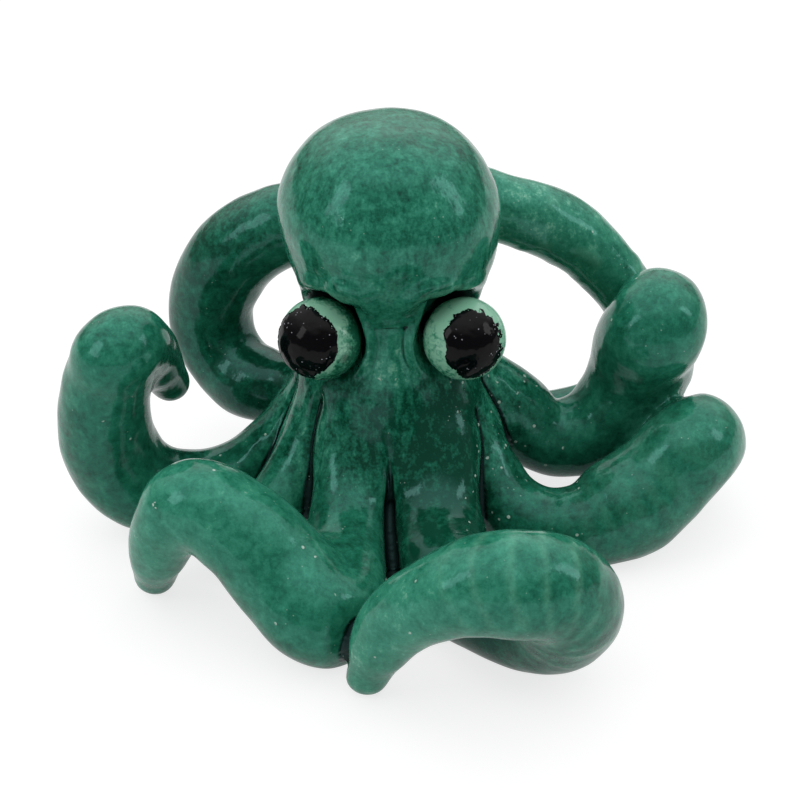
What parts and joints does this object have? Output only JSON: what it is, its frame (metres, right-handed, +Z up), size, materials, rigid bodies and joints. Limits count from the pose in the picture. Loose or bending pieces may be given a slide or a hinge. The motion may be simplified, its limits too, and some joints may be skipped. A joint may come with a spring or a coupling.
{
  "type": "octopus figurine",
  "caption": "Glazed clay octopus with a ball head, pressed-in ball eyes and curled arms that splay out around a pot-shaped body.",
  "frame": {"origin": "centre of the body's flat foot, on the table", "axes": "+Z up along the body's axis, -Y the way the face looks, +X to the right of a viewer who looks at the face"},
  "size_m": [0.1699, 0.1367, 0.1048],
  "materials": {
    "glaze": "gloss",
    "eye_glaze": "gloss",
    "black_glaze": "gloss"
  },
  "bodies": {
    "root": {"head": "glaze", "body": "glaze", "arm_front_left": "glaze", "arm_front_right": "glaze", "arm_right": "glaze", "arm_rear_right": "glaze", "arm_back_right": "glaze", "arm_back_left": "glaze", "arm_left": "glaze", "arm_side_left": "glaze", "left_eyelid": "glaze", "right_eyelid": "glaze", "left_eyeball": "eye_glaze", "right_eyeball": "eye_glaze", "left_pupil": "black_glaze", "right_pupil": "black_glaze"}
  },
  "joints": []
}
